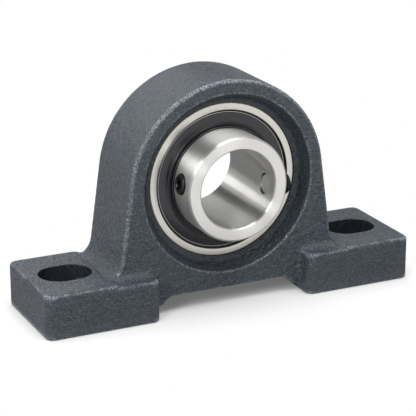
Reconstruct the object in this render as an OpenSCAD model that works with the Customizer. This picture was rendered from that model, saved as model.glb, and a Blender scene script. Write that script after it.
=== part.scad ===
// Pillow block bearing: cast housing with a swivelling ball bearing insert.
// Millimetres. X along the base, Y through the bore with the screw side at -Y,
// Z up. Origin on the mounting face, below the shaft axis.

/* [Base] */
// length of the base
base_len = 150; // [130:1:180]
// depth of the feet, front to back
base_wid = 42; // [38:0.5:60]
// height of the bolt pads above the mounting face
foot_h = 17; // [14:0.5:22]
// height of the shaft axis above the mounting face
shaft_h = 47; // [45:0.1:56]
// gap between the two feet, along the base
relief_len = 55; // [40:1:70]
// height of the relief under the body
relief_h = 6.5; // [3:0.5:7]
// radius of the relief's upper corners
relief_r = 5.5; // [2:0.25:6]
// how far the front and rear ends of a foot start beyond the hollow under the body
foot_step = 3; // [0:0.25:5]
// radius of the rounded upright edges of the feet
foot_r = 3; // [2:0.25:5]
// radius of the rounded top edges of the feet
foot_edge = 1.5; // [0.5:0.1:1.9]
// rounding of the feet's lower edges
sole_edge = 1; // [0.3:0.1:1.5]
// rounding where the relief meets the mounting face
relief_lip = 2; // [1:0.25:3]

/* [Bolt slots] */
// distance from the outer end of a foot to the middle of its slot
bolt_inset = 15; // [12:0.5:18]
// width of a bolt slot
slot_wid = 16; // [12:0.5:18]
// length of a bolt slot, end to end
slot_len = 20; // [17:0.5:24]
// height of the bolt pad above the cast foot
pad_rise = 0.8; // [0.3:0.1:1.5]
// margin of the bolt pad to the foot's outer edges
pad_margin = 2.4; // [2:0.1:4]
// radius of the pad's corners
pad_r = 4; // [2:0.5:6]
// reach of a pad from the middle of its slot towards the body
pad_reach = 13.5; // [11:0.5:15]

/* [Body] */
// outer radius of the arch over the bearing
body_r = 39.5; // [38.5:0.1:46]
// distance from the middle plane to the body's front face
body_front = 14.5; // [13:0.5:17]
// distance from the middle plane to the body's rear face
body_back = 17; // [13:0.5:18]
// lean of the body's flanks from upright, in degrees
flare = 8; // [2:0.5:10]
// rounding of the body's front edge
front_edge = 2; // [1:0.25:5]
// rounding of the body's rear edge
rear_edge = 1.5; // [1:0.25:5]
// radius of the hollow between flank and foot
flank_fillet = 8; // [4:0.5:9]
// radius of the small hollows at the body's front and back
face_fillet = 2; // [1:0.25:3]

/* [Seat] */
// half depth of the spherical seat
seat_half = 9.3; // [8:0.1:9.6]
// radius of the ledge beside the seat
ledge_r = 31.6; // [31.3:0.1:32.5]
// radius of the mouth at the body's face
mouth_r = 34.2; // [32.5:0.1:35]
// clearance between seat and outer ring
seat_gap = 0.05; // [0.02:0.01:0.1]
// clearance of the outer ring in the loading slots
load_gap = 0.3; // [0.1:0.05:0.6]

/* [Insert] */
// bore for the shaft
bore_d = 30; // [29:0.5:30]
// outer diameter of the inner ring
inner_d = 40; // [39:0.5:41]
// length of the inner ring in front of the mid plane
inner_front = 22.2; // [20:0.1:24]
// length of the inner ring behind the mid plane
inner_rear = 15.9; // [14:0.1:18]
// diameter of the spherical outer ring
outer_d = 62; // [61:0.5:62]
// width of the outer ring
outer_wid = 18; // [17.4:0.2:18.4]
// inner diameter of the outer ring beside the ball track
land_d = 50.8; // [50:0.2:52]
// diameter of the recess for seal and flinger in the outer ring
recess_d = 53.6; // [53:0.2:54.4]
// chamfer on the inner ring's ends
inner_chamfer = 0.7; // [0.4:0.1:1.5]
// chamfer on the ends of the bore
bore_chamfer = 0.5; // [0.2:0.1:1]
// chamfer on the outer ring's edges
outer_chamfer = 0.6; // [0.2:0.1:1]

/* [Balls and cage] */
// diameter of a ball
ball_d = 9.525; // [9:0.025:9.6]
// diameter of the circle of ball centres
pitch_d = 46; // [45.5:0.1:46.5]
// clearance between a ball and each ball track
track_gap = 0.05; // [0.02:0.01:0.1]
// clearance of a ball in its cage pocket
pocket_gap = 0.1; // [0.05:0.01:0.15]
// sheet thickness of the cage
cage_t = 0.7; // [0.5:0.05:0.8]
// width of the cage ribbon
cage_wid = 3.2; // [2.6:0.1:3.6]
// diameter of a cage rivet
rivet_d = 1.2; // [1:0.1:1.4]
// diameter of a rivet head
rivet_head_d = 2.2; // [1.8:0.1:2.4]
// height of a rivet head
rivet_head_h = 0.4; // [0.3:0.05:0.6]

/* [Seals and flingers] */
// distance from the mid plane to the seal's inner face
seal_in = 6.2; // [6:0.05:6.4]
// thickness of a seal
seal_t = 1; // [0.7:0.05:1.1]
// clearance of the seal lip on the inner ring
lip_gap = 0.08; // [0.03:0.01:0.1]
// distance from the mid plane to the flinger's inner face
flinger_in = 7.7; // [7.5:0.05:7.9]
// thickness of the flinger's disc
flinger_t = 0.8; // [0.5:0.05:1]
// how far the plate's rim leans back from its middle
flinger_dish = 0.2; // [0:0.05:0.4]
// outer diameter of a flinger
flinger_d = 52.2; // [51:0.1:52.4]
// wall of the flinger's collar on the inner ring
collar_t = 1.1; // [0.8:0.1:1.3]
// length of the collar in front of the disc
collar_h = 1; // [0.5:0.1:1.4]
// width of the step around the collar
step_t = 0.8; // [0.4:0.1:1.2]
// height of the step around the collar
step_h = 0.45; // [0.2:0.05:0.8]
// play of parts that are pressed together
press_gap = 0.02; // [0:0.01:0.03]

/* [Set screws] */
// diameter of a set screw
screw_d = 8; // [6:0.5:8]
// turn of the set screws' line from level, left one up
screw_turn = 7.5; // [0:0.5:15]
// distance from a set screw's point to the bore
tip_gap = 0.2; // [0.1:0.05:0.6]
// distance of the set screws from the inner ring's front end
screw_back = 7.8; // [6:0.1:9]
// play between a set screw and its tapped hole
thread_gap = 0.05; // [0.02:0.01:0.1]
// height of the left screw above the inner ring
left_proud = 0.8; // [0.5:0.1:1.5]
// height of the right screw above the inner ring
right_proud = 4.2; // [0.5:0.1:4.5]
// size of the hexagon socket across its flats
hex_flats = 4; // [3:0.5:4]
// depth of the hexagon socket
hex_deep = 3; // [2:0.25:3.5]
// chamfer on the screw's ends
screw_chamfer = 0.6; // [0.3:0.1:0.9]
// diameter of the cup at the screw's tip
cup_d = 4; // [3:0.1:5]

/* [Pin] */
// diameter of the anti-rotation pin
pin_d = 3; // [2.5:0.1:3]
// depth of the pin's hole in the outer ring
pin_in = 1.7; // [1.4:0.1:1.9]
// height of the pin above the outer ring
pin_out = 2.2; // [1.5:0.1:2.5]
// play of the pin in its hole
pin_gap = 0.05; // [0.02:0.01:0.1]
// play between the pin and the sides of its groove
groove_gap = 0.15; // [0.1:0.05:0.3]
// largest swivel of the insert, in degrees
swivel = 3; // [2:0.5:4]

/* [Hidden] */

fine = 180;      // steps round large circles
round_fine = 64; // steps round small circles
balls = 9;       // balls in the row
six = 6;         // sides of a hexagon
eps = 0.01;      // overlap for clean cuts
over = 1;        // how far cutting shapes pass the faces they cut
half_turn = 180; // degrees in half a turn
right_angle = 90; // degrees in a quarter turn
ball_start = 90; // angle of the first ball, at the top

base_x = base_len / 2;
base_y = base_wid / 2;
side_wid = body_front + body_back - front_edge - rear_edge;
relief_x = relief_len / 2;
foot_x = relief_x + foot_step;
cast_h = foot_h - pad_rise;
bolt_x = base_x - bolt_inset;
pad_in = bolt_x - pad_reach;
slot_r = slot_wid / 2;
slot_shift = (slot_len - slot_wid) / 2;

outer_r = outer_d / 2;
outer_y = outer_wid / 2;
seat_r = outer_r + seat_gap;
land_r = land_d / 2;
recess_r = recess_d / 2;
inner_r = inner_d / 2;
bore_r = bore_d / 2;
pitch_r = pitch_d / 2;
ball_r = ball_d / 2;
track_r = ball_r + track_gap;
load_x = outer_r + load_gap;
load_half = outer_y + load_gap;

pocket_r = ball_r + pocket_gap;
shell_r = pocket_r + cage_t;
cage_in = pitch_r - cage_wid / 2;
cage_out = pitch_r + cage_wid / 2;
rivet_r = rivet_d / 2;
rivet_head_r = rivet_head_d / 2;
ball_step = 2 * half_turn / balls;

seal_r = recess_r - press_gap;
lip_r = inner_r + lip_gap;
flinger_r = flinger_d / 2;
flinger_bore = inner_r + press_gap;
collar_r = flinger_bore + collar_t;
step_r = collar_r + step_t;

screw_r = screw_d / 2;
tapped_r = screw_r + thread_gap;
screw_y = inner_front - screw_back;
hex_r = hex_flats / 2 / cos(half_turn / six);
cup_r = cup_d / 2;

pin_r = pin_d / 2;
pin_low = outer_r - pin_in;
pin_high = outer_r + pin_out;
groove_r = pin_r + groove_gap;
groove_top = pin_high + groove_gap;
groove_front = pin_high * tan(swivel) + groove_gap;

// Points where the leaning flanks leave the arch, for an outline moved in by e.
function flank_x(e) = (body_r - e) * cos(flare);
function flank_z(e) = shaft_h + (body_r - e) * sin(flare);
function flank_at(e, z) = flank_x(e) + (flank_z(e) - z) * tan(flare);
fillet_z = cast_h + flank_fillet;
fillet_x = flank_at(0, fillet_z) + flank_fillet / cos(flare);

// Turns a drawing in the plane of the front view upright, its height towards -Y.
module upright() {
  rotate([right_angle, 0, 0]) children();
}

// The same for a shape drawn around the shaft axis.
module on_axis() {
  translate([0, 0, shaft_h]) upright() children();
}

module slot_plan(r, shift) {
  translate([-shift, -r]) square([2 * shift, 2 * r]);
  for (s = [-1, 1]) translate([s * shift, 0]) circle(r = r, $fn = round_fine);
}

module round_plan(x0, x1, half_y, r) {
  translate([x0 + r, -half_y]) square([x1 - x0 - 2 * r, 2 * half_y]);
  translate([x0, -half_y + r]) square([x1 - x0, 2 * half_y - 2 * r]);
  for (x = [x0 + r, x1 - r], y = [-half_y + r, half_y - r])
    translate([x, y]) circle(r = r, $fn = round_fine);
}

// Side view of a foot with rounded corners, across the width w from x0.
module edge_plan(x0, w) {
  mid = cast_h / 2;
  translate([x0, sole_edge]) square([w, cast_h - sole_edge - foot_edge]);
  translate([x0 + sole_edge, 0]) square([w - 2 * sole_edge, mid]);
  translate([x0 + foot_edge, mid]) square([w - 2 * foot_edge, mid]);
  for (x = [x0, x0 + w]) {
    side = x == x0 ? 1 : -1;
    translate([x + side * foot_edge, cast_h - foot_edge])
      circle(r = foot_edge, $fn = round_fine);
    translate([x + side * sole_edge, sole_edge]) circle(r = sole_edge, $fn = round_fine);
  }
}

module foot() {
  intersection() {
    linear_extrude(foot_h) round_plan(foot_x, base_x, base_y, foot_r);
    upright() translate([0, 0, -base_wid]) linear_extrude(2 * base_wid)
      edge_plan(foot_x, base_x - foot_x);
    rotate([right_angle, 0, right_angle]) linear_extrude(base_len)
      edge_plan(-base_y, base_wid);
  }
  translate([0, 0, cast_h / 2]) linear_extrude(foot_h - cast_h / 2)
    round_plan(pad_in, base_x - pad_margin, base_y - pad_margin, pad_r);
}

// Section through the body's rim: from x0 out to x1, rounded front and rear.
module rim_plan(x0, x1) {
  translate([x0, -body_back + rear_edge]) square([x1 - x0, side_wid]);
  translate([x0, 0]) square([x1 - x0 - front_edge, body_front]);
  translate([x0, -body_back]) square([x1 - x0 - rear_edge, body_back]);
  translate([x1 - front_edge, body_front - front_edge])
    circle(r = front_edge, $fn = round_fine);
  translate([x1 - rear_edge, rear_edge - body_back]) circle(r = rear_edge, $fn = round_fine);
}

// The same section seen from the hollow side, from radius x0 outwards.
module hollow_rim_plan(x0) {
  deep = max(front_edge, rear_edge) + over;
  translate([x0, -body_back + rear_edge]) square([deep, side_wid]);
  translate([x0 + front_edge, 0]) square([deep - front_edge, body_front]);
  translate([x0 + rear_edge, -body_back]) square([deep - rear_edge, body_back]);
  translate([x0 + front_edge, body_front - front_edge])
    circle(r = front_edge, $fn = round_fine);
  translate([x0 + rear_edge, rear_edge - body_back]) circle(r = rear_edge, $fn = round_fine);
}

// Solid body before the cuts: arch, leaning flanks and the hollows at their feet.
module body() {
  on_axis() rotate_extrude($fn = fine) rim_plan(0, body_r);
  for (s = [0, 1]) mirror([s, 0, 0]) {
    intersection() {
      on_axis() rotate(flare) rotate([right_angle, 0, 0])
        linear_extrude((flank_z(0) - sole_edge) / cos(flare)) rim_plan(-inner_r, body_r);
      translate([-base_len, -base_wid, sole_edge]) cube([2 * base_len, 2 * base_wid, base_len]);
    }
    translate([fillet_x, 0, fillet_z]) upright() rotate(half_turn + flare)
      rotate_extrude(angle = right_angle - flare, $fn = fine) hollow_rim_plan(flank_fillet);
  }
}

// Small hollows where the body's faces meet the feet.
module face_hollows() {
  face_x = flank_at(front_edge, cast_h);
  for (s = [0, 1], t = [0, 1]) mirror([s, 0, 0]) mirror([0, t, 0]) {
    face_y = t > 0 ? body_back : body_front;
    translate([foot_x + foot_edge, -face_y, cast_h])
      rotate([right_angle, 0, right_angle]) linear_extrude(face_x - foot_x - foot_edge)
        mirror([1, 0, 0]) hollow_plan();
    translate([foot_x, -face_y, relief_h]) linear_extrude(cast_h - relief_h)
      mirror([1, 0, 0]) mirror([0, 1, 0]) hollow_plan();
  }
}

// Corner fill with a hollow face, between two walls that meet at the origin.
module hollow_plan() {
  difference() {
    translate([-eps, -eps]) square(face_fillet + eps);
    translate([face_fillet, face_fillet]) circle(r = face_fillet, $fn = round_fine);
  }
}

module relief_plan() {
  translate([-relief_x, -over]) square([relief_len, relief_h - relief_r + over]);
  translate([-relief_x + relief_r, -over])
    square([relief_len - 2 * relief_r, relief_h + over]);
  for (s = [-1, 1]) {
    translate([s * (relief_x - relief_r), relief_h - relief_r])
      circle(r = relief_r, $fn = round_fine);
    difference() {
      translate([s * relief_x - relief_lip, -over]) square([2 * relief_lip, relief_lip + over]);
      translate([s * (relief_x + relief_lip), relief_lip])
        circle(r = relief_lip, $fn = round_fine);
      translate([s * (relief_x + relief_lip) - relief_lip, relief_lip])
        square(2 * relief_lip);
    }
  }
}

// Everything cut round the shaft axis for the insert.
module seat_space() {
  on_axis() {
    intersection() {
      sphere(r = seat_r, $fn = fine);
      cylinder(r = seat_r + over, h = 2 * seat_half, center = true, $fn = fine);
    }
    rotate_extrude($fn = fine) for (s = [-1, 1]) {
      face_y = s < 0 ? body_back : body_front;
      polygon([[0, s * (seat_half - eps)], [ledge_r, s * (seat_half - eps)],
               [mouth_r, s * face_y], [mouth_r, s * (face_y + over)],
               [0, s * (face_y + over)]]);
    }
  }
  // loading slots, open to the rear
  translate([-load_x, 0, shaft_h - load_half])
    cube([2 * load_x, body_back + over, 2 * load_half]);
  // groove for the pin, open to the rear
  translate([0, 0, shaft_h]) {
    translate([-groove_r, -groove_front, 0])
      cube([2 * groove_r, groove_front + body_back + over, groove_top]);
    translate([0, -groove_front, 0]) cylinder(r = groove_r, h = groove_top, $fn = round_fine);
  }
}

module housing() {
  color([0.24, 0.26, 0.29]) difference() {
    union() {
      body();
      for (s = [0, 1]) mirror([s, 0, 0]) foot();
      face_hollows();
    }
    seat_space();
    upright() translate([0, 0, -base_wid]) linear_extrude(2 * base_wid) relief_plan();
    for (s = [-1, 1]) translate([s * bolt_x, 0, -over])
      linear_extrude(foot_h + 2 * over) slot_plan(slot_r, slot_shift);
  }
}

module anti_rotation_pin() {
  color([0.7, 0.7, 0.68]) translate([0, 0, shaft_h + pin_low])
    cylinder(r = pin_r, h = pin_high - pin_low, $fn = round_fine);
}

module outer_ring() {
  edge_r = sqrt(outer_r * outer_r - outer_y * outer_y);
  color([0.72, 0.7, 0.66]) difference() {
    on_axis() difference() {
      intersection() {
        sphere(r = outer_r, $fn = fine);
        rotate_extrude($fn = fine)
          polygon([[land_r, -outer_y], [edge_r - outer_chamfer, -outer_y],
                   [edge_r + over, -outer_y + outer_chamfer + over],
                   [outer_r + over, 0],
                   [edge_r + over, outer_y - outer_chamfer - over],
                   [edge_r - outer_chamfer, outer_y], [land_r, outer_y]]);
      }
      for (s = [-1, 1]) translate([0, 0, s > 0 ? seal_in : -outer_y - over])
        cylinder(r = recess_r, h = outer_y - seal_in + over, $fn = fine);
      rotate_extrude($fn = fine) translate([pitch_r, 0]) circle(r = track_r, $fn = round_fine);
    }
    translate([0, 0, shaft_h + pin_low - pin_gap])
      cylinder(r = pin_r + pin_gap, h = pin_in + over, $fn = round_fine);
  }
}

module inner_ring() {
  color([0.8, 0.8, 0.79]) difference() {
    on_axis() difference() {
      rotate_extrude($fn = fine)
        polygon([[bore_r, -inner_rear + bore_chamfer], [bore_r + bore_chamfer, -inner_rear],
                 [inner_r - inner_chamfer, -inner_rear], [inner_r, -inner_rear + inner_chamfer],
                 [inner_r, inner_front - inner_chamfer], [inner_r - inner_chamfer, inner_front],
                 [bore_r + bore_chamfer, inner_front], [bore_r, inner_front - bore_chamfer]]);
      rotate_extrude($fn = fine) translate([pitch_r, 0]) circle(r = track_r, $fn = round_fine);
    }
    for (s = [-1, 1]) translate([0, -screw_y, shaft_h])
      rotate([0, screw_turn + s * right_angle, 0])
        cylinder(r = tapped_r, h = inner_r + over, $fn = round_fine);
  }
}

// Seal ring pressed in the outer ring; t is the side of the mid plane.
module seal(t) {
  color([0.12, 0.12, 0.13]) on_axis() rotate_extrude($fn = fine)
    polygon([[lip_r, t * (seal_in + seal_t / 2)], [lip_r + seal_t, t * seal_in],
             [seal_r, t * seal_in], [seal_r, t * (seal_in + seal_t)],
             [lip_r, t * (seal_in + seal_t)]]);
}

// Stamped flinger pressed on the inner ring.
module flinger(t) {
  disc = flinger_in + flinger_t;
  color([0.2, 0.21, 0.23]) on_axis() rotate_extrude($fn = fine)
    polygon([[flinger_bore, t * flinger_in], [flinger_r, t * flinger_in],
             [flinger_r, t * (disc - flinger_dish)], [step_r, t * disc], [step_r, t * (disc + step_h)],
             [collar_r, t * (disc + step_h)], [collar_r, t * (disc + collar_h)],
             [flinger_bore, t * (disc + collar_h)]]);
}

module front_seal() { seal(1); }
module rear_seal() { seal(-1); }
module front_flinger() { flinger(1); }
module rear_flinger() { flinger(-1); }

// Set screw on side s: it stands proud of the inner ring, its point by the bore.
module set_screw(s, proud) {
  screw_len = inner_r + proud - bore_r - tip_gap;
  color([0.1, 0.1, 0.1]) translate([0, -screw_y, shaft_h]) rotate([0, screw_turn, 0])
    translate([s * (inner_r + proud), 0, 0]) rotate([0, -s * right_angle, 0]) difference() {
      rotate_extrude($fn = round_fine)
        polygon([[0, 0], [screw_r - screw_chamfer, 0], [screw_r, screw_chamfer],
                 [screw_r, screw_len - screw_chamfer], [screw_r - screw_chamfer, screw_len],
                 [cup_r, screw_len], [0, screw_len - screw_chamfer]]);
      translate([0, 0, -eps]) rotate(right_angle / 3)
        cylinder(r = hex_r, h = hex_deep + eps, $fn = six);
    }
}

module set_screw_left() { set_screw(-1, left_proud); }
module set_screw_right() { set_screw(1, right_proud); }

// Places children at every ball, and half a step further at every rivet.
module round_pitch(turn) {
  for (i = [0:balls - 1]) rotate(ball_start + turn + i * ball_step)
    translate([pitch_r, 0, 0]) children();
}

// Half of the ribbon cage on side t: pockets over the balls, flat webs between.
module cage_half(t) {
  color([0.75, 0.75, 0.73]) on_axis() difference() {
    intersection() {
      rotate_extrude($fn = fine) translate([cage_in, t > 0 ? 0 : -2 * shell_r])
        square([cage_wid, 2 * shell_r]);
      union() {
        translate([0, 0, t > 0 ? 0 : -cage_t]) cylinder(r = cage_out + over, h = cage_t, $fn = fine);
        round_pitch(0) sphere(r = shell_r, $fn = round_fine);
      }
    }
    round_pitch(0) sphere(r = pocket_r, $fn = round_fine);
    round_pitch(ball_step / 2)
      cylinder(r = rivet_r + press_gap, h = 2 * shell_r, center = true, $fn = round_fine);
  }
}

module cage_front() { cage_half(1); }
module cage_rear() { cage_half(-1); }

module cage_rivets() {
  color([0.65, 0.65, 0.62]) on_axis() round_pitch(ball_step / 2) {
    cylinder(r = rivet_r, h = 2 * cage_t, center = true, $fn = round_fine);
    for (s = [0, 1]) mirror([0, 0, s]) translate([0, 0, cage_t])
      cylinder(r = rivet_head_r, h = rivet_head_h, $fn = round_fine);
  }
}

module ball(i) {
  color([0.85, 0.85, 0.86]) on_axis() rotate(ball_start + (i - 1) * ball_step)
    translate([pitch_r, 0, 0]) sphere(r = ball_r, $fn = round_fine);
}

module ball_1() { ball(1); }
module ball_2() { ball(2); }
module ball_3() { ball(3); }
module ball_4() { ball(4); }
module ball_5() { ball(5); }
module ball_6() { ball(6); }
module ball_7() { ball(7); }
module ball_8() { ball(8); }
module ball_9() { ball(9); }

housing();
anti_rotation_pin();
outer_ring();
front_seal();
rear_seal();
inner_ring();
front_flinger();
rear_flinger();
set_screw_left();
set_screw_right();
cage_front();
cage_rear();
cage_rivets();
ball_1();
ball_2();
ball_3();
ball_4();
ball_5();
ball_6();
ball_7();
ball_8();
ball_9();
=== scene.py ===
# %% [markdown]
# # Pillow block bearing
# A pillow block carries a shaft. Its cast housing is bolted to a machine, and in it
# sits a ball bearing insert that can swivel, so the shaft may lie a little out of line.
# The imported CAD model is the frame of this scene: each piece made here rides on one of
# its bodies, in metres, so nothing is fitted by eye and every joint still works.

import bpy
import bmesh
import math
from mathutils import Matrix, Vector


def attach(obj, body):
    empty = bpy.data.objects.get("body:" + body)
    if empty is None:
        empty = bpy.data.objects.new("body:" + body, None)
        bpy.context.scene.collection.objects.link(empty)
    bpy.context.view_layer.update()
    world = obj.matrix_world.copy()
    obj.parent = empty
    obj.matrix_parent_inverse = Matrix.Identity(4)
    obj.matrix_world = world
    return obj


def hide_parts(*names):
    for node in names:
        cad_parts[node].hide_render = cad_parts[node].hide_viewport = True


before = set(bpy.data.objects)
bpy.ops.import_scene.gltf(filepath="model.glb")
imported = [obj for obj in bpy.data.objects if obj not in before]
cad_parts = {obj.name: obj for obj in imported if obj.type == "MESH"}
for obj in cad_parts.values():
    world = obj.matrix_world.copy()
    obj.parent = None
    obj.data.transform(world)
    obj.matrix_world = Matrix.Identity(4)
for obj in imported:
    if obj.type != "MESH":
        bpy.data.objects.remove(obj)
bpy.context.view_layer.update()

# %% [markdown]
# ## Camera
# A photograph is taken from one place through one lens. Both could be tried by eye,
# but here they come from a fit of the feet, the rings and the arch, and they come
# first, because every later look is judged through them.

# %% Camera at the photograph's angle
MM = 0.001  # sizes below are in millimetres unless they say otherwise
CAMERA_AT = (-267.242, -554.659, 241.552)
TO_CAMERA = Vector((-0.408853, -0.854490, 0.320448))
scene = bpy.context.scene
cam_data = bpy.data.cameras.new("camera")
cam_data.sensor_width, cam_data.lens = 36, 148.72
cam_data.clip_start, cam_data.clip_end = 0.02, 20
camera = bpy.data.objects.new("camera", cam_data)
camera.location = Vector(CAMERA_AT) * MM
camera.rotation_mode = "QUATERNION"
camera.rotation_quaternion = (-TO_CAMERA).to_track_quat("-Z", "Y")
scene.collection.objects.link(camera)
scene.camera = camera
print("lens", cam_data.lens, "distance", round(camera.location.length, 3))

# %% [markdown]
# ## Sizes that several pieces share
# The insert's 62 mm ring sets the scale of everything, as on the real part, where the
# casting is drawn round the bearing. Sizes that only one piece needs stand beside it.

# %% Shared sizes in millimetres
SHAFT_H = 47
AXIS_Z = SHAFT_H * MM
FRONT, REAR = 14.5, 17.0  # the body's faces, before and behind the middle
MOUTH, LEDGE = 34.2, 31.6  # radius of the conical mouth at the face and at its bottom
SEAT_HALF = 9.3  # half depth of the spherical seat
OUTER_R, OUTER_HALF = 31.0, 9.0  # outer ring: sphere and half width
BORE_R, INNER_R = 15.0, 20.0  # inner ring
INNER_FRONT, INNER_REAR = 22.2, 15.9  # its ends, before and behind the middle
SLOT_X, SLOT_R, SLOT_HALF = 60, 8, 10  # bolt slots: place, half width, half length
print("shaft height", SHAFT_H, "bore", 2 * BORE_R)

# %% [markdown]
# ## Lathe helpers
# Every ring of a bearing is turned, so one profile spun round an axis makes it. The
# corners of a profile get small arcs first, because a real edge is never quite sharp
# and its highlight is what draws the ring. A bevel afterwards would do it too, but an
# arc in the profile gives each corner its own radius.

# %% Profiles and turned solids
CORNER, ARC_STEPS = 0.15, 4  # usual radius of a corner, and the pieces of its arc
STRAIGHT = 1.55  # half angle in radians from where a corner counts as straight
HALF_SIDE = 0.49  # share of a side that one corner's arc may use up


def rounded(points):
    """Profile with an arc on each corner; a third value of a point sets its radius."""
    out, n = [], len(points)
    for i, p in enumerate(points):
        r = p[2] if len(p) > 2 else CORNER
        here = Vector(p[:2])
        a, b = Vector(points[i - 1][:2]) - here, Vector(points[(i + 1) % n][:2]) - here
        la, lb = a.length, b.length
        a, b = a / la, b / lb
        half = a.angle(b) / 2
        if r <= 0 or half > STRAIGHT:
            out.append(here)
            continue
        reach = min(r / math.tan(half), la * HALF_SIDE, lb * HALF_SIDE)
        r = reach * math.tan(half)
        mid = here + (a + b).normalized() * (r / math.sin(half))
        p0, p1 = here + a * reach - mid, here + b * reach - mid
        turn = p0.angle_signed(p1)
        for k in range(ARC_STEPS + 1):
            c, s = math.cos(-turn * k / ARC_STEPS), math.sin(-turn * k / ARC_STEPS)
            out.append(mid + Vector((p0.x * c - p0.y * s, p0.x * s + p0.y * c)))
    return out


def revolve(places, steps, closed, centre, axis):
    """Solid from a chain of places in metres; the ends of an open chain lie on the axis."""
    bm = bmesh.new()
    verts = [bm.verts.new(place) for place in places]
    edges = [bm.edges.new((verts[i - 1], verts[i]))
             for i in range(0 if closed else 1, len(verts))]
    bmesh.ops.spin(bm, geom=verts + edges, cent=centre, axis=axis, angle=math.tau,
                   steps=steps, use_merge=True, use_duplicate=False)
    bmesh.ops.remove_doubles(bm, verts=bm.verts, dist=1e-7)
    bmesh.ops.recalc_face_normals(bm, faces=bm.faces)
    return bm


def turned(points, steps=256, closed=True):
    """The same round the shaft axis, from (radius, distance to the front)."""
    places = [(r * MM, -t * MM, AXIS_Z) for r, t in points]
    return revolve(places, steps, closed, (0, 0, AXIS_Z), (0, 1, 0))


def bow(r, half_angle, steps=24):
    """Arc about the insert's middle, as (radius, distance to the front)."""
    turns = [math.radians(-half_angle + 2 * half_angle * k / steps) for k in range(steps + 1)]
    return [(r * math.cos(a), r * math.sin(a)) for a in turns]


# %% [markdown]
# ## Objects, cuts and riding
# A mesh made with operators becomes an object that is smooth but for its sharp edges.
# Boolean modifiers take material off, as a drill or a cutter does, and are applied at
# once, so that the export gets plain meshes. `ride` hands a piece to the body that
# carries it and hides the CAD node that it stands for.

# %% Object helpers
SHARP = 35  # degrees from where an edge is drawn sharp


def to_object(name, bm, material):
    mesh = bpy.data.meshes.new(name)
    bm.to_mesh(mesh)
    bm.free()
    mesh.materials.append(material)
    mesh.shade_smooth()
    mesh.set_sharp_from_angle(angle=math.radians(SHARP))
    obj = bpy.data.objects.new(name, mesh)
    scene.collection.objects.link(obj)
    return obj


def settle(obj, sharp=SHARP):
    """Applies the modifiers to the mesh and drops them."""
    deps = bpy.context.evaluated_depsgraph_get()
    mesh = bpy.data.meshes.new_from_object(obj.evaluated_get(deps))
    obj.modifiers.clear()
    old, obj.data = obj.data, mesh
    bpy.data.meshes.remove(old)
    mesh.shade_smooth()
    mesh.set_sharp_from_angle(angle=math.radians(sharp))


def combine(obj, steps, sharp=SHARP):
    """Runs boolean steps of (operation, tool) on the object and drops the tools."""
    for operation, tool in steps:
        mod = obj.modifiers.new("cut", "BOOLEAN")
        mod.object, mod.operation, mod.solver = tool, operation, "EXACT"
    settle(obj, sharp)
    for _, tool in steps:
        bpy.data.objects.remove(tool)


def cut(obj, tools):
    combine(obj, [("DIFFERENCE", tool) for tool in tools])


def count(obj):
    """Number of triangles of the object, printed too."""
    triangles = sum(len(p.vertices) - 2 for p in obj.data.polygons)
    print(obj.name, "triangles", triangles)
    return triangles


def ride(obj, body, node):
    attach(obj, body)
    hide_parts(node)
    count(obj)


# %% [markdown]
# ## Node helpers
# Every finish is procedural and reads object space, so it moves with its piece and
# needs no unwrapping. Node trees are long to write by hand, so a small class adds the
# nodes and links them: a value may be a number, or the output of another node.

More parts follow.
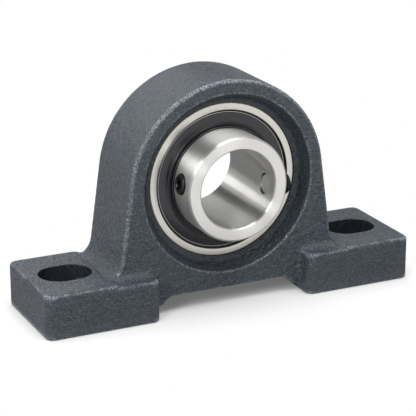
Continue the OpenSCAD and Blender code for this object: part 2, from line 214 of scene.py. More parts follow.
# %% Node helpers
class Nodes:
    """Short way to write the node tree of a material or a world."""

    def __init__(self, owner):
        owner.use_nodes = True
        self.owner, self.tree = owner, owner.node_tree
        self.shader = self.tree.nodes.get("Principled BSDF")

    def put(self, node, key, value):
        if isinstance(value, bpy.types.NodeSocket):
            self.tree.links.new(value, node.inputs[key])
        else:
            node.inputs[key].default_value = value

    def add(self, kind, _inputs=None, **props):
        node = self.tree.nodes.new(kind)
        for key, value in props.items():
            setattr(node, key, value)
        for key, value in (_inputs or {}).items():
            self.put(node, key, value)
        return node

    def set(self, **values):
        """Inputs of the main shader, with _ for a space."""
        for key, value in values.items():
            self.put(self.shader, key.replace("_", " "), value)

    def show(self, surface):
        self.tree.links.new(surface, self.tree.nodes["Material Output"].inputs[0])

    def math(self, operation, a, b=0.0, clamp=False):
        node = self.add("ShaderNodeMath", {0: a, 1: b}, operation=operation, use_clamp=clamp)
        return node.outputs[0]

    def hypot(self, a, b):
        squares = [self.math("MULTIPLY", value, value) for value in (a, b)]
        return self.math("SQRT", self.math("ADD", *squares))

    def span(self, value, low, high, to_low=0.0, to_high=1.0, **props):
        """Maps low to high onto another span, and holds the ends."""
        ends = {"Value": value, "From Min": low, "From Max": high, "To Min": to_low,
                "To Max": to_high}
        return self.add("ShaderNodeMapRange", ends, **props).outputs[0]

    def place(self):
        return self.add("ShaderNodeTexCoord").outputs["Object"]

    def split(self, vector):
        return tuple(self.add("ShaderNodeSeparateXYZ", {0: vector}).outputs)

    def axis_space(self):
        """Distance from the shaft axis, angle round it, and place along it."""
        x, y, z = self.split(self.place())
        z = self.math("SUBTRACT", z, AXIS_Z)
        return self.hypot(x, z), self.math("ARCTAN2", z, x), y

    def swept(self, axis_space, across, around):
        """Axis space as a vector, stretched so that noise in it runs round the axis."""
        parts = zip(range(3), axis_space, (across, around, across))
        return self.add("ShaderNodeCombineXYZ", {
            i: self.math("MULTIPLY", part, scale) for i, part, scale in parts}).outputs[0]

    def noise(self, vector, scale, detail, rough):
        node = self.add("ShaderNodeTexNoise", {"Vector": vector, "Scale": scale,
                                               "Detail": detail, "Roughness": rough})
        return node.outputs["Fac"]

    def ramp(self, value, *stops):
        """Straight ramp between two stops of (position, grey or colour)."""
        node = self.add("ShaderNodeValToRGB", {"Fac": value})
        for element, (position, colour) in zip(node.color_ramp.elements, stops):
            element.position = position
            grey = isinstance(colour, (int, float))
            element.color = (colour,) * 3 + (1,) if grey else colour + (1,)
        return node.outputs["Color"]

    def mix(self, share, a, b):
        """Colour a, with a share of the plain colour b."""
        node = self.add("ShaderNodeMix", {0: share, 6: a, 7: b + (1,)}, data_type="RGBA")
        return node.outputs[2]

    def bump(self, height, distance):
        node = self.add("ShaderNodeBump", {"Height": height, "Distance": distance,
                                           "Strength": 1.0})
        return node.outputs["Normal"]


# %% [markdown]
# ## Paint on rough cast iron
# The housing is cast in sand, and its paint lies on a skin of lumps and grain. An image
# wrapped round it would need seams; noises of several sizes in object space need none.
# On the arch the skin also has streaks that run round the shaft axis, so one noise is
# swept that way. Shade is painted into the conical mouths and the bolt slots, which are
# darkened. Where the skin bends sharply outwards, which the attribute `edge` of the mesh
# tells, the paint is thin and pale from wear, and the same pale band is a painted
# highlight that grows towards the arch's top. Light specks in the paint are painted glints.

# %% Masks of the paint
SHADE_FADE = 0.4  # how far the dark of the mouth fades to each side of its edge
SLOT_EDGE = 0.15  # how far the dark of a slot laps over its edge


def recess_masks(n, x, y, radius):
    """Masks of the mouths and of the bolt slots, where shade is painted into the colour."""
    mouth = n.span(radius, (MOUTH + SHADE_FADE) * MM, (MOUTH - SHADE_FADE) * MM)
    past = n.math("SUBTRACT", n.math("ABSOLUTE", x), SLOT_X * MM)
    past = n.math("SUBTRACT", n.math("ABSOLUTE", past), (SLOT_HALF - SLOT_R) * MM)
    past = n.math("MAXIMUM", past, 0.0)
    slots = n.math("LESS_THAN", n.hypot(past, y), (SLOT_R + SLOT_EDGE) * MM)
    return mouth, slots


def cast_height(n, y, grain, lumps, streaks):
    """Height of the skin; the streaks are faint on the front face."""
    arch = n.span(y, (0.5 - FRONT) * MM, (4.0 - FRONT) * MM)
    weight = n.math("ADD", n.math("MULTIPLY", arch, 1.5), 0.2)
    streaks = n.math("MULTIPLY", n.math("SUBTRACT", streaks, 0.5), weight)
    lumps = n.math("ADD", n.math("MULTIPLY", lumps, 0.6), streaks)
    return n.math("ADD", n.math("MULTIPLY", grain, 0.45), lumps)


# %% Colours of the paint
PIT, CREST = (0.020, 0.026, 0.033), (0.058, 0.072, 0.088)  # of the grain
HAZE, STREAK = (0.052, 0.065, 0.080), (0.022, 0.028, 0.036)
# Light specks that paint glints, and pale rubbed edges that are wear and also a painted
# highlight.
PAINTED_GLINT, RUBBED_AND_HIGHLIGHT = (0.20, 0.23, 0.27), (0.36, 0.40, 0.45)
# Painted shade in the mouths and the bolt slots.
PAINTED_SHADE = (0.012, 0.014, 0.017)


def paint_tone(n, at, z, grain, streaks):
    """Colour of the paint; its edges are rubbed pale, which is wear and also a painted
    highlight, more towards the arch's top.
    """
    tone = n.ramp(grain, (0.34, PIT), (0.66, CREST))
    tone = n.mix(n.ramp(n.noise(at, 55, 3, 0.5), (0.35, 0.0), (0.7, 0.35)), tone, HAZE)
    tone = n.mix(n.ramp(streaks, (0.36, 0.45), (0.52, 0.0)), tone, STREAK)
    fine = n.noise(at, 1900, 2, 0.6)
    # Painted glints: light specks of the fine noise.
    painted_glints = n.math("MULTIPLY", n.ramp(fine, (0.60, 0.0), (0.68, 1.0)), 0.4)
    tone = n.mix(painted_glints, tone, PAINTED_GLINT)
    edge = n.add("ShaderNodeAttribute", attribute_name="edge").outputs["Fac"]
    # The pale edges are wear and also a painted highlight; towards the arch's top they are
    # painted paler, where the light falls from above.
    edge_wear_and_highlight = n.ramp(edge, (0.15, 0.0), (0.42, 1.0))
    rub_and_highlight = n.math("MULTIPLY", edge_wear_and_highlight, n.ramp(fine, (0.44, 0.06), (0.58, 1.0)), clamp=True)
    crown_highlight = n.span(z, 50 * MM, 78 * MM, 0.45, 0.85)
    return n.mix(n.math("MULTIPLY", rub_and_highlight, crown_highlight), tone, RUBBED_AND_HIGHLIGHT)


# %% Cast paint
def cast_paint():
    n = Nodes(bpy.data.materials.new("cast_paint"))
    at, around = n.place(), n.axis_space()
    x, y, z = n.split(at)
    mouth, slots = recess_masks(n, x, y, around[0])
    lumps, grain = n.noise(at, 520, 3, 0.6), n.noise(at, 1150, 3, 0.7)
    streaks = n.noise(n.swept(around, 800, 13), 1.0, 3, 0.6)
    # Painted shade: the mouths and the bolt slots are darkened.
    shade = n.math("MAXIMUM", n.math("MULTIPLY", mouth, 0.35), n.math("MULTIPLY", slots, 0.97))
    tone = n.mix(shade, paint_tone(n, at, z, grain, streaks), PAINTED_SHADE)
    smooth = n.math("MULTIPLY", n.math("MAXIMUM", mouth, slots), 0.6)
    height = n.math("MULTIPLY", cast_height(n, y, grain, lumps, streaks),
                    n.math("SUBTRACT", 1.0, smooth))
    rough = n.math("ADD", n.math("MULTIPLY", grain, 0.16), 0.14)
    n.set(Base_Color=tone, Roughness=rough, Normal=n.bump(height, 1.2 * MM),
          Specular_IOR_Level=0.45)
    return n.owner


PAINT = cast_paint()
print("made", PAINT.name)

# %% [markdown]
# ## Turned and ground steels
# A lathe and a grinding wheel leave fine marks round the axis, which spread a highlight
# across them. Noise that is swept round the axis draws the marks. On both rings the
# shader's own anisotropy spreads the light, since marks that fine would only flicker as
# bumps. The inner ring's end faces are brighter than the rest of it, and its outside is
# a little coarser than its bore.


# %% Steels
def steel(name, colour, rough, lines, depth, stretch=0.0, drift=0.06, face=None, coarse=None):
    """face is (distance, colour beyond it), coarse is (radius, roughness added beyond it)."""
    n = Nodes(bpy.data.materials.new(name))
    around = n.axis_space()
    marks = n.noise(n.swept(around, lines, 1.6), 1.0, 4, 0.6)
    cloud = n.noise(n.place(), 90, 3, 0.5)
    light = tuple(min(1.0, c * 1.04) for c in colour)
    dark = tuple(c * (1 - drift) for c in colour)
    tone = n.ramp(marks, (0.3, dark), (0.7, light))
    matt = n.math("ADD", n.math("MULTIPLY", marks, 0.10),
                  n.math("ADD", n.math("MULTIPLY", cloud, 0.05), rough - 0.075))
    if face:
        end = n.math("GREATER_THAN", n.math("ABSOLUTE", around[2]), face[0] * MM)
        tone = n.mix(end, tone, face[1])
    if coarse:
        outside = n.math("GREATER_THAN", around[0], coarse[0] * MM)
        matt = n.math("ADD", matt, n.math("MULTIPLY", outside, coarse[1]))
    n.set(Base_Color=tone, Metallic=1.0, Roughness=matt, Normal=n.bump(marks, depth * MM))
    if stretch:
        round_axis = n.add("ShaderNodeTangent", direction_type="RADIAL", axis="Y").outputs[0]
        n.set(Anisotropic=stretch, Anisotropic_Rotation=0.25, Tangent=round_axis)
    return n.owner


BARE = (0.52, 0.515, 0.50)  # turned steel without a coat
INNER = steel("inner_steel", BARE, 0.31, 2600, 0.008, stretch=1.0, drift=0.12,
              face=(INNER_FRONT - 0.05, (0.76, 0.75, 0.73)), coarse=(INNER_R - 0.4, 0.13))
OUTER = steel("outer_steel", (0.66, 0.64, 0.60), 0.27, 4000, 0.006, stretch=0.7)
BALL = steel("ball_steel", (0.84, 0.84, 0.86), 0.16, 900, 0.002)
CAGE = steel("cage_steel", (0.66, 0.65, 0.62), 0.38, 1500, 0.01)
PIN = steel("pin_steel", (0.68, 0.67, 0.65), 0.33, 3000, 0.01)
print("steels", [m.name for m in (INNER, OUTER, BALL, CAGE, PIN)])

# %% [markdown]
# ## Coats, oxide and rubber
# The flingers are coated black, the screws are blackened by oxide and the seals are
# rubber. All three are dark with a faint mottle, so one function makes them. A flinger's
# rim and a screw's point are bare steel; the distance from the shaft axis tells where,
# which is simpler than a second material on part of the mesh.


# %% Dark finishes
def coated(name, colour, rough, scale=900, bare=None, gloss=0.5):
    """bare is (comparison, radius): the steel shows where the comparison holds."""
    n = Nodes(bpy.data.materials.new(name))
    mottle = n.noise(n.place(), scale, 3, 0.6)
    tone = n.ramp(mottle, (0.35, colour), (0.7, tuple(c * 1.5 for c in colour)))
    if bare:
        point = n.math(bare[0], n.axis_space()[0], bare[1] * MM)
        tone = n.mix(point, tone, BARE)
        n.set(Metallic=point)
    matt = n.math("ADD", n.math("MULTIPLY", mottle, 0.12), rough - 0.06)
    n.set(Base_Color=tone, Roughness=matt, Normal=n.bump(mottle, 0.03 * MM),
          Specular_IOR_Level=gloss)
    return n.owner


RIM_BARE, TIP_BARE = 25.88, 16.8  # radius where a flinger's rim and a screw's tip are bare
FLINGER = coated("flinger_coat", (0.005, 0.006, 0.008), 0.24,
                 bare=("GREATER_THAN", RIM_BARE), gloss=0.65)
RUBBER = coated("seal_rubber", (0.016, 0.016, 0.017), 0.6)
OXIDE = coated("screw_oxide", (0.007, 0.007, 0.008), 0.30, 1400, bare=("LESS_THAN", TIP_BARE))
print("materials", len(bpy.data.materials))

# %% [markdown]
# ## Rough casting
# A casting has no sharp inside corners. Modelling each fillet by hand is slow where
# three walls meet, so the rough shape is put together from simple solids: the arch with
# its leaning flanks, two feet, their raised pads, and small hollow fills in the corners
# between body and foot. They overlap freely, because one skin is drawn over them later.


# %% Outlines and solids of the casting
def arc(cx, cz, r, start, end, steps):
    """Points on an arc in the front view, angles in degrees."""
    turns = [math.radians(start + (end - start) * k / steps) for k in range(steps + 1)]
    return [(cx + r * math.cos(a), cz + r * math.sin(a)) for a in turns]


def mirrored(points):
    """The same points on the other side, in the order that closes an outline."""
    return [(-x, z) for x, z in reversed(points)]


def extrude(bm, faces):
    """New vertices and faces of an extrusion that is still to be moved."""
    made = bmesh.ops.extrude_face_region(bm, geom=faces)["geom"]
    return ([v for v in made if isinstance(v, bmesh.types.BMVert)],
            [f for f in made if isinstance(f, bmesh.types.BMFace)])


def soften(bm, way, place, radius, segments):
    """Rounds the edges that lie across axis number way at a place."""
    edges = [e for e in bm.edges
             if all(abs(v.co[way] - place * MM) < 1e-7 for v in e.verts)]
    if radius:
        bmesh.ops.bevel(bm, geom=edges, offset=radius * MM, affect="EDGES",
                        segments=segments, profile=0.5, material=-1)


def prism(points, front, back, front_edge=0.0, back_edge=0.0):
    """Outline in the front view, extruded from front to back."""
    bm = bmesh.new()
    face = bm.faces.new([bm.verts.new((x * MM, front * MM, z * MM)) for x, z in points])
    bmesh.ops.translate(bm, verts=extrude(bm, [face])[0], vec=(0, (back - front) * MM, 0))
    bmesh.ops.recalc_face_normals(bm, faces=bm.faces)
    soften(bm, 1, front, front_edge, 10)
    soften(bm, 1, back, back_edge, 10)
    return bm


def cuboid(x0, x1, y0, y1, z0, z1):
    bm = bmesh.new()
    bmesh.ops.create_cube(bm, size=1)
    bmesh.ops.scale(bm, verts=bm.verts, vec=((x1 - x0) * MM, (y1 - y0) * MM, (z1 - z0) * MM))
    bmesh.ops.translate(bm, verts=bm.verts,
                        vec=((x0 + x1) / 2 * MM, (y0 + y1) / 2 * MM, (z0 + z1) / 2 * MM))
    return bm


# %% Feet and corner fills
UPRIGHT, TOP_EDGE, SOLE_EDGE = 3, 1.1, 0.5  # roundings of a foot
SINK, BEND_STEPS = 0.5, 8  # how far a corner fill reaches into the walls; its pieces


def foot_block(x0, x1, half_y, top):
    """Foot or pad from the ground up, with its own rounding on each kind of edge."""
    bm = cuboid(min(x0, x1), max(x0, x1), -half_y, half_y, 0, top)
    stand = [e for e in bm.edges if abs(e.verts[0].co.z - e.verts[1].co.z) > 1e-6]
    bmesh.ops.bevel(bm, geom=stand, offset=UPRIGHT * MM, affect="EDGES", segments=8,
                    profile=0.5, material=-1)
    soften(bm, 2, top, TOP_EDGE, 5)
    soften(bm, 2, 0, SOLE_EDGE, 5)
    return bm


def hollow(corner, u, v, along, r):
    """Corner fill with a hollow face between walls along u and v."""
    bm = bmesh.new()
    turns = [math.pi / 2 * k / BEND_STEPS for k in range(BEND_STEPS + 1)]
    bend = [(r - r * math.sin(a), r - r * math.cos(a)) for a in turns]
    outline = [(-SINK, -SINK), (r, -SINK)] + bend + [(-SINK, r)]
    face = bm.faces.new([bm.verts.new((corner + u * p + v * q) * MM) for p, q in outline])
    bmesh.ops.translate(bm, verts=extrude(bm, [face])[0], vec=along * MM)
    bmesh.ops.recalc_face_normals(bm, faces=bm.faces)
    return bm


def gather(target, bm):
    """Adds one bmesh to another."""
    mesh = bpy.data.meshes.new("gathered")
    bm.to_mesh(mesh)
    bm.free()
    target.from_mesh(mesh)
    bpy.data.meshes.remove(mesh)


# %% Body with leaning flanks
BODY_R, LEAN, FLANK_FILLET = 39.5, 8, 8.0  # LEAN in degrees
FOOT_TOP, RELIEF_H = 16.2, 6.5  # heights of the foot beside its pad and of the relief
FRONT_EDGE, REAR_EDGE = 1.4, 0.9  # roundings of the body's outline
lean = math.radians(LEAN)
hollow_z = FOOT_TOP + FLANK_FILLET
hollow_x = BODY_R * math.cos(lean)
hollow_x += (SHAFT_H + BODY_R * math.sin(lean) - hollow_z) * math.tan(lean)
hollow_x += FLANK_FILLET / math.cos(lean)
side = arc(0, SHAFT_H, BODY_R, 90, LEAN, 48)
side += arc(hollow_x, hollow_z, FLANK_FILLET, 180 + LEAN, 270, 16) + [(hollow_x, 3.0)]
rough = prism(side + mirrored(side[1:]), -FRONT, REAR, FRONT_EDGE, REAR_EDGE)
print("flank meets the foot at", round(hollow_x, 2))

# %% Feet, pads and fills on both sides
FOOT_IN, FOOT_END = 30.5, 73
PAD_IN, PAD_END, PAD_TOP = 46.5, 75, 17.0
HALF_DEPTH = 21
FILL_IN, FILL_LENGTH = 31.6, 13.5  # fills on top of the foot
LEDGE_FILLET, FILLET = 3.0, 2.0  # the fillet on the front ledge is the larger one
fills = [((FILL_IN, -FRONT, FOOT_TOP), (0, -1, 0), (0, 0, 1), (FILL_LENGTH, 0, 0), LEDGE_FILLET),
         ((FILL_IN, REAR, FOOT_TOP), (0, 1, 0), (0, 0, 1), (FILL_LENGTH, 0, 0), FILLET)]
for face_y, way in ((-FRONT, -1), (REAR, 1)):
    fills.append(((FOOT_IN, face_y, RELIEF_H), (-1, 0, 0), (0, way, 0),
                  (0, 0, FOOT_TOP - RELIEF_H), FILLET))
for s in (-1, 1):
    for inner_end, outer_end, top in ((FOOT_IN, FOOT_END, FOOT_TOP), (PAD_IN, PAD_END, PAD_TOP)):
        gather(rough, foot_block(s * inner_end, s * outer_end, HALF_DEPTH, top))
    for *places, r in fills:
        gather(rough, hollow(*[Vector((s * x, y, z)) for x, y, z in places], r))
bmesh.ops.recalc_face_normals(rough, faces=rough.faces)
housing = to_object("housing_cast", rough, PAINT)
count(housing)

# %% [markdown]
# ## Cores and one skin
# The space between the feet and the conical mouths are left open by sand cores, so they
# are taken out before the skin is drawn and come out with soft edges. A voxel remesh
# melts all solids into one even skin, and a few rounds of smoothing grow the fillets. A
# subdivided cage could be smoother, but it would have to be laid out by hand. The skin
# is then thinned: flat faces need few triangles, the small roundings keep theirs.

# %% Mouths and relief
SKIN_SHARP = 60  # degrees; a cast skin has only the sharp edges that are cut later
CELL, QUICK_CELL, SMOOTHING = 0.45, 0.6, 5
CORE_R, PAST = 29, 18  # rough bore, and how far a core reaches past the middle
RELIEF_HALF, RELIEF_R = 27.5, 5.5
SKIN_TRIANGLES = 150000


def round_core(points):
    return to_object("core", turned(points, 192, closed=False), PAINT)


def remesh(obj, size, rounds):
    """One even skin of cells of that size, then rounds of smoothing."""
    skin = obj.modifiers.new("skin", "REMESH")
    skin.mode, skin.voxel_size = "VOXEL", size * MM
    if rounds:
        soft = obj.modifiers.new("soft", "SMOOTH")
        soft.factor, soft.iterations = 0.5, rounds
    settle(obj, SKIN_SHARP)


mouths = [(0, -PAST), (MOUTH + 1, -PAST), (MOUTH, -REAR), (LEDGE, -SEAT_HALF),
          (CORE_R, -SEAT_HALF), (CORE_R, SEAT_HALF), (LEDGE, SEAT_HALF), (MOUTH, FRONT),
          (MOUTH + 1, PAST), (0, PAST)]
lip = [(1.1, -2.0), (1.1, -0.1), (0.4, 0.4), (0.0, 1.0)]  # softened lower edge
relief = [(RELIEF_HALF + out, z) for out, z in lip]
relief += arc(RELIEF_HALF - RELIEF_R, RELIEF_H - RELIEF_R, RELIEF_R, 0, 90, 10)

# %% One skin
remesh(housing, CELL, 0)
cut(housing, [round_core(mouths),
              to_object("core", prism(relief + mirrored(relief), -40, 40), PAINT)])
remesh(housing, CELL, SMOOTHING)
thin = housing.modifiers.new("thin", "DECIMATE")
thin.ratio = SKIN_TRIANGLES / count(housing)
settle(housing, SKIN_SHARP)
count(housing)

# %% [markdown]
# ## Worn and highlighted edges
# Paint wears first where the skin bends outwards, and the pale band there is also a
# painted highlight. A shader's pointiness changes with the density of a mesh, so the bend
# is measured here once at each vertex, in 1/mm, from how fast the normals turn along its
# edges, and is kept as an attribute.


# %% Edge mask
def edge_mask(obj):
    """Writes how sharply the skin bends outwards, in 1/mm."""
    bm = bmesh.new()
    bm.from_mesh(obj.data)
    bend = []
    for v in bm.verts:
        total = 0.0
        for e in v.link_edges:
            o = e.other_vert(v)
            way = o.co - v.co
            total += (o.normal - v.normal).dot(way) / max(way.length_squared, 1e-12)
        bend.append(total / len(v.link_edges) * MM)
    soft = [0.5 * bend[v.index] + 0.5 * sum(bend[e.other_vert(v).index]
            for e in v.link_edges) / len(v.link_edges) for v in bm.verts]
    bm.free()
    obj.data.attributes.new("edge", "FLOAT", "POINT").data.foreach_set("value", soft)
    print("bend from", round(min(soft), 3), "to", round(max(soft), 3))


edge_mask(housing)

# %% [markdown]
# ## Machined seat
# A boring bar cuts the spherical seat into the casting. From the rear come two loading
# slots, through which the insert is put in edge-on and then turned, and the groove in
# which the anti-rotation pin can tilt. The bolt slots get a small bevel at the top. All
# are exact cuts with crisp edges, so they come after the smoothing.


# %% Cutters
def cone(r1, r2, depth, matrix, material, segments=48):
    """Cone or cylinder along Z, placed by a matrix."""
    bm = bmesh.new()
    bmesh.ops.create_cone(bm, cap_ends=True, segments=segments, radius1=r1 * MM,
                          radius2=r2 * MM, depth=depth * MM, matrix=matrix)
    return to_object("core", bm, material)


def slot_core(x):
    """Upright cutter with round ends that takes a small bevel off the pad's edge."""
    below, bevel, flare = 3, 0.25, 1.25  # start, bevel at the pad's top, height of the flare
    bm = bmesh.new()
    bmesh.ops.create_circle(bm, cap_ends=True, segments=96, radius=SLOT_R * MM)
    bmesh.ops.translate(bm, verts=bm.verts, vec=(0, 0, -below * MM))
    top = list(bm.faces)
    for rise, grow in ((below + PAD_TOP - bevel, 1.0), (flare, 1 + flare / SLOT_R)):
        old = top
        verts, top = extrude(bm, old)
        if grow > 1:
            bmesh.ops.delete(bm, geom=old, context="FACES_ONLY")
        bmesh.ops.translate(bm, verts=verts, vec=(0, 0, rise * MM))
        bmesh.ops.scale(bm, verts=verts, vec=(grow, grow, 1))
    for v in bm.verts:
        v.co.x += math.copysign((SLOT_HALF - SLOT_R) * MM, v.co.x) + x * MM
    bmesh.ops.recalc_face_normals(bm, faces=bm.faces)
    return to_object("core", bm, PAINT)


# %% Machined cuts
SEAT_GAP, LOAD_GAP = 0.05, 0.3  # play of the outer ring in the seat and loading slots
SEAT_R, SEAT_ANGLE = OUTER_R + SEAT_GAP, 17.43  # the angle is half the arc, in degrees
SEAT_END = (29.62, SEAT_HALF + 0.05)
LOAD_HALF = OUTER_R + LOAD_GAP
GROOVE_R, GROOVE_FRONT, GROOVE_TOP = 1.65, 1.9, 80.35
PAST_REAR = 20
r_end, t_end = SEAT_END
seat = [(0, -t_end), (r_end, -t_end)] + bow(SEAT_R, SEAT_ANGLE) + [(r_end, t_end), (0, t_end)]
groove_end = Vector((0, -GROOVE_FRONT, (SHAFT_H + GROOVE_TOP) / 2)) * MM
cut(housing, [
    round_core(seat),
    to_object("core", cuboid(-LOAD_HALF, LOAD_HALF, 0, PAST_REAR, SHAFT_H - SEAT_HALF,
                             SHAFT_H + SEAT_HALF), PAINT),
    to_object("core", cuboid(-GROOVE_R, GROOVE_R, -GROOVE_FRONT, PAST_REAR, SHAFT_H,
                             GROOVE_TOP), PAINT),
    cone(GROOVE_R, GROOVE_R, GROOVE_TOP - SHAFT_H, Matrix.Translation(groove_end), PAINT),
    slot_core(SLOT_X), slot_core(-SLOT_X)])
ride(housing, "housing_body", "housing")

# %% [markdown]
# ## Outer ring
# The outside of this ring is a sphere that sits in the housing, and a groove inside
# guides the balls. Both are arcs of its profile. The steps beside the groove hold the
# seals, and a hole at the top takes the anti-rotation pin.

# %% Outer ring
PITCH_R, TRACK_R = 23.0, 4.8125  # circle of the ball centres, radius of the raceways
LAND_R, SEAL_R, SEAL_IN = 25.4, 26.8, 6.2  # land beside the raceway, seat of a seal
FACE_R, SPHERE_ANGLE = 29.2, 16.2  # outer edge of the end face, half arc in degrees
PIN_HOLE_R, PIN_HOLE_DEPTH, PIN_HOLE_MIDDLE = 1.55, 4, 31.25  # the last from the axis


def track(side, edge_r, steps=16):
    """Raceway arc of the profile, from the front edge to the rear edge."""
    half = math.sqrt(TRACK_R ** 2 - (PITCH_R - edge_r) ** 2)
    start = math.asin(half / TRACK_R)
    turns = [start * (1 - 2 * k / steps) for k in range(steps + 1)]
    return [(PITCH_R + side * TRACK_R * math.cos(a), TRACK_R * math.sin(a), 0) for a in turns]


seal_seat = [(SEAL_R, OUTER_HALF, 0.25), (SEAL_R, SEAL_IN, 0.1), (LAND_R, SEAL_IN, 0.2)]
profile = seal_seat + track(1, LAND_R) + [(r, -t, c) for r, t, c in reversed(seal_seat)]
profile += [(FACE_R, -OUTER_HALF, 0.4)]
profile += [(r, t, 0) for r, t in bow(OUTER_R, SPHERE_ANGLE)] + [(FACE_R, OUTER_HALF, 0.4)]
outer = to_object("outer_ring_ground", turned(rounded(profile)), OUTER)
hole_at = Matrix.Translation((0, 0, AXIS_Z + PIN_HOLE_MIDDLE * MM))
cut(outer, [cone(PIN_HOLE_R, PIN_HOLE_R, PIN_HOLE_DEPTH, hole_at, OUTER)])
ride(outer, "outer_body", "outer_ring")

# %% [markdown]
# ## Inner ring
# The wide ring grips the shaft with two set screws, so it stands out to the front. It
# is turned like the outer ring, and two tapped holes are cut through it with a small
# countersink. They lie on one line across the shaft, turned a little round it, as the
# screws in the photograph do.

# %% Inner ring
BORE_EDGE, FRONT_CHAMFER, REAR_CHAMFER = 0.5, 0.7, 1.0
HIP = 4.2  # half width of the raceway with its edges
RINGS = (9, 12, 16.8)  # extra rings, so that the holes are cut from short faces
SCREW_BACK, SCREW_TURN = 7.8, 7.5  # from the front end, and degrees round the shaft
profile = [(BORE_R + BORE_EDGE, INNER_FRONT), (BORE_R, INNER_FRONT - BORE_EDGE),
           (BORE_R, BORE_EDGE - INNER_REAR), (BORE_R + BORE_EDGE, -INNER_REAR),
           (INNER_R - REAR_CHAMFER, -INNER_REAR, 0.2),
           (INNER_R, REAR_CHAMFER - INNER_REAR, 0.2), (INNER_R, -RINGS[0]),
           (INNER_R, -HIP, 0.1)]
profile += list(reversed(track(-1, INNER_R))) + [(INNER_R, HIP, 0.1)]
profile += [(INNER_R, t) for t in RINGS]
profile += [(INNER_R, INNER_FRONT - FRONT_CHAMFER, 0.2),
            (INNER_R - FRONT_CHAMFER, INNER_FRONT, 0.2)]
inner = to_object("inner_ring_turned", turned(rounded(profile), 360), INNER)

# %% Tapped holes
SCREW_LINE = Matrix.Translation((0, (SCREW_BACK - INNER_FRONT) * MM, AXIS_Z))
SCREW_LINE = SCREW_LINE @ Matrix.Rotation(math.radians(SCREW_TURN), 4, "Y")
HOLE = (4.05, 4.05, 17.5, 9)  # radius inside and outside, middle and depth of the cut
SINK_CUT = (4.0, 4.75, 20.0, 0.75)  # the same for the countersink


def outwards(s, distance):
    """Place on the screws' line, at a distance from the axis, with Z outwards on side s."""
    return (SCREW_LINE @ Matrix.Translation((s * distance * MM, 0, 0))
            @ Matrix.Rotation(s * math.pi / 2, 4, "Y"))


cut(inner, [cone(r1, r2, depth, outwards(s, middle), INNER, 64)
            for s in (-1, 1) for r1, r2, middle, depth in (HOLE, SINK_CUT)])
ride(inner, "inner_body", "inner_ring")

# %% [markdown]
# ## Flingers
# A flinger is a thin plate pressed over the inner ring, which throws dirt off as it
# turns. It is slightly dished, its rim is rolled and a double lip stands round the
# ring. Bent sheet could be made with a solidify modifier, but its two sides differ
# here, so the whole profile is drawn and turned. The rear one is the same, mirrored.

# %% Flingers on both sides
plate_back = [(20.02, 7.75, 0.1), (26.1, 7.72, 0.1)]
rolled_rim = [(26.1, 8.2, 0.12), (25.85, 8.2, 0.12), (25.75, 8.0, 0.1)]
dish = [(25.3, 8.12, 0.6), (24.3, 8.33, 3), (23.2, 8.47, 3), (22.3, 8.52, 0.15)]
outer_lip = [(22.1, 8.6, 0.12), (21.9, 8.95, 0.18), (21.4, 8.95, 0.18), (21.3, 8.3, 0.1)]
inner_lip = [(20.95, 8.3, 0.1), (20.85, 9.5, 0.25), (20.02, 9.5, 0.2)]
plate = plate_back + rolled_rim + dish + outer_lip + inner_lip
for way, name in ((1, "front_flinger"), (-1, "rear_flinger")):
    profile = rounded([(r, way * t, c) for r, t, c in plate])
    disc = to_object(name + "_pressed", turned(profile), FLINGER)
    ride(disc, "inner_body", name)

# %% [markdown]
# ## Set screws
# A set screw has no head: it is a threaded rod with a point and a socket for a hexagon
# key. A thread is one pitch of its profile spun round the screw's axis while it moves
# along it. A screw modifier could do the same, but the operator gives plain faces that
# are easy to trim. The chamfered blank is then intersected with the thread, and the
# socket is cut out. The right one stands out further, as photographed.

# %% Thread
ROOT, CREST_R, LEAD = 3.42, 3.95, 1.0  # radii of the thread, and its pitch
THREAD_STEPS, SPARE_TURNS = 48, 2  # steps per turn, and turns past each end
TRIM = 0.01  # how far inside each end the rod is cut off
TIP_R = 15.2  # distance of the point from the shaft axis


def thread(length):
    """Threaded rod along Z, with its socket end at 0, closed at both ends."""
    bm = bmesh.new()
    tooth = [(ROOT, 0), (ROOT, 0.12), (CREST_R, 0.44), (CREST_R, 0.56), (ROOT, 0.88),
             (ROOT, LEAD)]
    start = -SPARE_TURNS * LEAD
    verts = [bm.verts.new((r * MM, 0, (z + start) * MM)) for r, z in tooth]
    edges = [bm.edges.new(pair) for pair in zip(verts, verts[1:])]
    turns = int(length / LEAD) + 2 * SPARE_TURNS
    bmesh.ops.spin(bm, geom=verts + edges, cent=(0, 0, 0), axis=(0, 0, 1),
                   dvec=(0, 0, LEAD * MM / THREAD_STEPS), angle=math.tau * turns,
                   steps=THREAD_STEPS * turns, use_duplicate=False)
    bmesh.ops.remove_doubles(bm, verts=bm.verts, dist=1e-6)
    for z, way in ((TRIM, -1), (length - TRIM, 1)):
        geom = list(bm.verts) + list(bm.edges) + list(bm.faces)
        bmesh.ops.bisect_plane(bm, geom=geom, plane_co=(0, 0, z * MM), plane_no=(0, 0, way),
                               clear_outer=True, dist=1e-8)
    bmesh.ops.holes_fill(bm, edges=[e for e in bm.edges if e.is_boundary], sides=0)
    bmesh.ops.recalc_face_normals(bm, faces=bm.faces)
    return bm


# %% Set screws with real threads
KEY_R, KEY_DEPTH = 2.31, 3.0  # radius at the hexagon's corners, depth of the socket
FUNNEL = (2.9, 1.9, 1.0)  # radii and height of the socket's countersink, half of it cuts
SCREW_R, POINT_R = 4.0, 3.95  # radius of the blank, and of its face at the point
FLAT_R, EDGE_R, EDGE_DEPTH = 3.0, 3.25, 0.75  # end face and chamfer at the socket


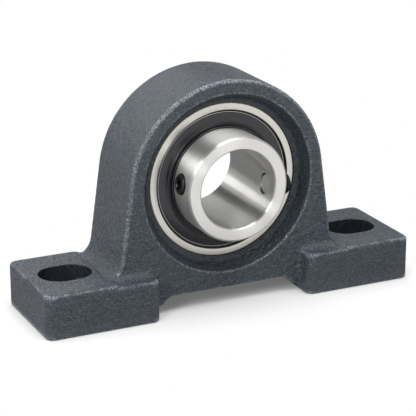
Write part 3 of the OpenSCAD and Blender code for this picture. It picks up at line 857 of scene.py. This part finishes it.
def set_screw(name, s, proud):
    """Screw on side s, with its outer end proud of the inner ring."""
    length = INNER_R + proud - TIP_R
    screw = to_object(name, thread(length), OXIDE)
    chain = [(0, -0.5), (FLAT_R, -0.5), (FLAT_R, 0), (EDGE_R, 0.08), (SCREW_R, EDGE_DEPTH),
             (SCREW_R, length - 0.08), (POINT_R, length - 0.03), (0, length - 0.03)]
    blank = revolve([(r * MM, 0, z * MM) for r, z in chain], 96, False, (0, 0, 0), (0, 0, 1))
    combine(screw, [("INTERSECT", to_object("core", blank, OXIDE)),
                    ("DIFFERENCE", cone(KEY_R, KEY_R, 2 * KEY_DEPTH, Matrix(), OXIDE, 6)),
                    ("DIFFERENCE", cone(*FUNNEL, Matrix(), OXIDE))], 30)
    end = SCREW_LINE @ Matrix.Translation((s * (INNER_R + proud) * MM, 0, 0))
    screw.data.transform(end @ Matrix.Rotation(-s * math.pi / 2, 4, "Y"))
    return screw


for s, proud, name in ((-1, 0.8, "left"), (1, 4.2, "right")):
    screw = set_screw("set_screw_" + name + "_threaded", s, proud)
    ride(screw, "screw_" + name + "_body", "set_screw_" + name)

# %% [markdown]
# ## Hidden pieces
# Seals, cage, rivets, balls and pin keep their exact CAD shape, because the CAD model
# already has their real form. They get their own finish, which shows once the bearing
# is opened or seen from behind.

# %% Finishes on CAD pieces
finish = {"front_seal": RUBBER, "rear_seal": RUBBER, "cage_front": CAGE, "cage_rear": CAGE,
          "cage_rivets": CAGE, "anti_rotation_pin": PIN}
finish.update({"ball_%d" % i: BALL for i in range(1, 10)})
for node, material in finish.items():
    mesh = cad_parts[node].data
    mesh.materials.clear()
    mesh.materials.append(material)
print("finished CAD pieces", len(finish))

# %% [markdown]
# ## Lamps
# The photograph was lit by large soft boxes: one above, one low at the left and narrow
# ones in front, which draw the lines along the casting's edges. Area lights of those
# sizes do the same. Their power is worked out from how white their face would look, so
# that a change of size keeps the look.


# %% Soft boxes
def aimed(name, data, place, aim):
    obj = bpy.data.objects.new(name, data)
    obj.location = place
    obj.rotation_mode = "QUATERNION"
    obj.rotation_quaternion = (Vector(aim) - Vector(place)).to_track_quat("-Z", "Y")
    scene.collection.objects.link(obj)
    return obj


def soft_box(name, place, aim, size, radiance):
    """Area light with sizes in metres; radiance 1 looks white."""
    data = bpy.data.lights.new(name, "AREA")
    data.shape, data.size, data.size_y = "RECTANGLE", size[0], size[1]
    data.energy = radiance * math.pi * size[0] * size[1]
    print(name, "watts", round(data.energy, 2))
    aimed(name, data, place, aim)


soft_box("top_box", (0.03, 0.7, 1.0), (0.03, 0.7, 0), (0.8, 3.2), 2.5)
soft_box("left_box", (-0.95, 0.6, 0.55), (0, 0.6, 0.1), (3.2, 0.42), 2.0)
soft_box("front_box", (0.12, -0.38, 0.95), (0, 0, 0.05), (1.2, 0.13), 8.0)
soft_box("edge_box", (-0.84, -0.61, 0.60), (0, 0, 0.05), (0.24, 0.36), 17.0)

# %% [markdown]
# ## Grey cards
# A turned cylinder only looks like steel with darker bands between the lights. A
# photographer holds up cards for that. These glow in a plain grey, only reflections see
# them, and they neither light the part nor shade it.


# %% Cards
def card(name, grey, place, aim, size):
    """Card with sizes in metres that only reflections see; grey 1 looks white."""
    bm = bmesh.new()
    bmesh.ops.create_grid(bm, x_segments=1, y_segments=1, size=0.5)
    bmesh.ops.scale(bm, vec=(size[0], size[1], 1), verts=bm.verts)
    mesh = bpy.data.meshes.new(name)
    bm.to_mesh(mesh)
    bm.free()
    n = Nodes(bpy.data.materials.new(name))
    n.show(n.add("ShaderNodeEmission", {"Strength": grey}).outputs[0])
    mesh.materials.append(n.owner)
    obj = aimed(name, mesh, place, aim)
    obj.visible_camera = obj.visible_diffuse = obj.visible_shadow = False
    print(name, "grey", grey)


card("gap_card", 0.04, (-0.34, 1.0, 0.80), (0, 1.0, 0.047), (3.4, 0.40))
card("right_card", 0.2, (0.85, 1.5, 0.27), (0, 1.5, 0.047), (1.8, 0.5))
card("roof_card", 0.86, (1.4, 1.9, 0.96), (1.4, 1.9, 0), (3.2, 4.2))
card("low_card", 0.38, (0, 1.25, 0.002), (0, 1.25, 1), (4.0, 2.542))
card("toe_card", 0.35, (0, -0.045, 0.002), (0, -0.045, 1), (0.3, 0.046))

# %% [markdown]
# ## White floor
# The photograph's floor is white but for a soft shadow beside the part. More light
# would bleach the part too, so the floor itself fades from a pale painted surface that
# takes the shadow to a plain white glow, over a short way from the feet. Rays that
# carry light on to the part see the painted surface alone.

# %% Floor
BOUNCE, SEEN = 0.35, 0.36  # grey for light that bounces, and what is added to the eye
FADE_FROM, FADE_OVER = (73, 19), 38  # half sizes of the base, and the way of the fade
GLOW_START = 0.12  # share of the glow at the base
ground = Nodes(bpy.data.materials.new("floor_white"))
rays = ground.add("ShaderNodeLightPath").outputs
seen = ground.math("SUBTRACT", 1.0, rays["Is Diffuse Ray"])
ground.set(Base_Color=ground.math("ADD", BOUNCE, ground.math("MULTIPLY", SEEN, seen)),
           Roughness=0.9, Specular_IOR_Level=0.0)
beside = []
for part, half in zip(ground.split(ground.place()), FADE_FROM):
    over = ground.math("SUBTRACT", ground.math("ABSOLUTE", part), half * MM)
    beside.append(ground.math("MAXIMUM", over, 0.0))
fade = ground.span(ground.hypot(*beside), 0.0, FADE_OVER * MM, GLOW_START,
                   interpolation_type="SMOOTHSTEP")
glow = ground.add("ShaderNodeEmission").outputs[0]
ground.show(ground.add("ShaderNodeMixShader", {
    0: ground.math("MULTIPLY", fade, seen), 1: ground.shader.outputs[0], 2: glow}).outputs[0])
bm = bmesh.new()
bmesh.ops.create_grid(bm, x_segments=2, y_segments=2, size=4)
floor = to_object("floor", bm, ground.owner)
print("floor", [round(v, 2) for v in floor.dimensions])

# %% [markdown]
# ## World
# The background is white to the camera, and metal and glass show the same white. All
# other rays see a darker world, which only fills the shadows.

# %% World
FILL_LIGHT, WHITE = 0.34, 1.0
sky = Nodes(bpy.data.worlds.new("studio"))
rays = sky.add("ShaderNodeLightPath").outputs
seen = sky.math("MAXIMUM", rays["Is Camera Ray"], rays["Is Transmission Ray"])
seen = sky.math("MAXIMUM", seen, rays["Is Glossy Ray"])
sky.put(sky.tree.nodes["Background"], "Color", sky.span(seen, 0.0, 1.0, FILL_LIGHT, WHITE))
scene.world = sky.owner
scene.view_settings.view_transform = "Standard"
print("world", scene.world.name)
